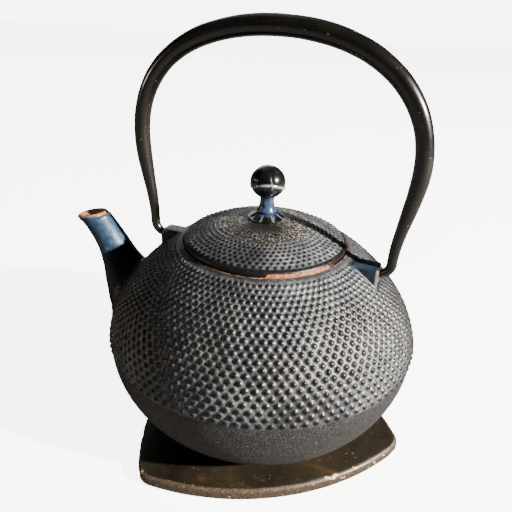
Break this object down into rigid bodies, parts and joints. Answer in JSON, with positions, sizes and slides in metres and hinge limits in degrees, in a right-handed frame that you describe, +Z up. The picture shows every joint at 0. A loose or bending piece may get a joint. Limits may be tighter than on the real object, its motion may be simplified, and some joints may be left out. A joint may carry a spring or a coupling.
{
  "type": "cast iron teapot",
  "caption": "Round dotted cast iron teapot with a short spout, arched swinging bail handle, domed lid with a bud knob, lift-out steel infuser and a three-cornered trivet.",
  "frame": {"origin": "on the ground at the middle of the pot's turned axis, on the trivet's flat underside", "axes": "+Z up along the pot's turned axis, spout towards -X, handle hinge axis along X"},
  "size_m": [0.2062, 0.1684, 0.2233],
  "materials": {
    "pot_iron": "dark grey cast iron, sandy plain band, dotted shoulder, rust at the mouth and the spout's tip",
    "lid_iron": "dark grey cast iron, dotted outer ring and sandy centre",
    "trivet_iron": "blackish brown lacquered iron, worn bronze at the edges",
    "handle_steel": "satin black lacquer",
    "knob_iron": "gloss black lacquer",
    "infuser_steel": "brushed stainless steel"
  },
  "bodies": {
    "trivet": {"trivet": "trivet_iron"},
    "pot": {"pot_body": "pot_iron"},
    "handle": {"handle": "handle_steel"},
    "infuser": {"infuser_rim": "infuser_steel", "infuser_wall": "infuser_steel", "infuser_floor": "infuser_steel"},
    "lid": {"lid": "lid_iron", "knob_rosette": "knob_iron", "knob_washer": "infuser_steel"},
    "knob": {"knob": "knob_iron"}
  },
  "joints": [
    {"name": "pot_lift", "type": "slide", "parent": "trivet", "child": "pot", "axis": [0, 0, 1], "range_m": [0, 0.06]},
    {"name": "handle_swing", "type": "hinge", "parent": "pot", "child": "handle", "pos_m": [0, 0, 0.1068], "axis": [1, 0, 0], "range_deg": [-108, 108]},
    {"name": "infuser_lift", "type": "slide", "parent": "pot", "child": "infuser", "axis": [0, 0, 1], "range_m": [0, 0.055]},
    {"name": "lid_lift", "type": "slide", "parent": "infuser", "child": "lid", "axis": [0, 0, 1], "range_m": [0, 0.045]},
    {"name": "knob_spin", "type": "hinge", "parent": "lid", "child": "knob", "pos_m": [0, 0, 0.13], "axis": [0, 0, 1], "continuous": true}
  ]
}
